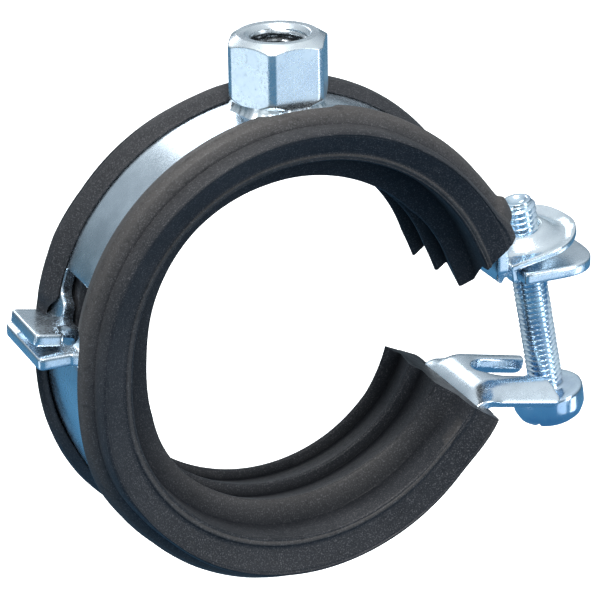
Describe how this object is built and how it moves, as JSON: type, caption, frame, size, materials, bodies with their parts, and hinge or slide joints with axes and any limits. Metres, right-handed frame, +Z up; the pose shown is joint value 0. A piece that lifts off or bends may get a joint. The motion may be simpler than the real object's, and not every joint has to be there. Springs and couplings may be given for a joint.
{
  "type": "rubber lined pipe clamp",
  "caption": "Hinged steel pipe clamp with ribbed rubber lining, a threaded hexagonal connection boss on top and a swing-in locking screw at the side.",
  "frame": {"origin": "centre of the upper pipe seat, on the pipe axis, at the middle of the strip's width", "axes": "+Y along the pipe, +Z up out of the threaded boss, +X towards the locking screw"},
  "size_m": [0.1003, 0.0294, 0.0905],
  "materials": {
    "zinc_strip": "bright blue-passivated zinc on bent strip",
    "zinc_nut": "bright blue-passivated zinc on machined faces",
    "zinc_screw": "bright blue-passivated zinc on rolled thread",
    "lining_rubber": "matt extruded rubber with fine speckle"
  },
  "bodies": {
    "upper_half": {"upper_band": "zinc_strip", "connection_boss": "zinc_nut", "lining_upper": "lining_rubber"},
    "lower_half": {"lower_band": "zinc_strip", "lining_lower": "lining_rubber"},
    "nut_swivel": {"nut_plate": "zinc_strip"},
    "screw": {"locking_screw": "zinc_screw"}
  },
  "joints": [
    {"name": "hinge", "type": "hinge", "parent": "upper_half", "child": "lower_half", "pos_m": [-0.0386, 0, 0.0046], "axis": [0, -1, 0], "range_deg": [-3, 11]},
    {"name": "nut_swing", "type": "hinge", "parent": "upper_half", "child": "nut_swivel", "pos_m": [0.0388, 0, 0.0045], "axis": [0, -1, 0], "range_deg": [-10.3, 3]},
    {"name": "screw_travel", "type": "slide", "parent": "nut_swivel", "child": "screw", "axis": [-0.1779, 0, 0.984], "range_m": [-0.006, 0.02]}
  ],
  "couplings": [
    {"joint": "nut_swing", "follows": "hinge", "ratio": -0.93},
    {"joint": "screw_travel", "follows": "hinge", "m_per_rad": 0.0974}
  ]
}
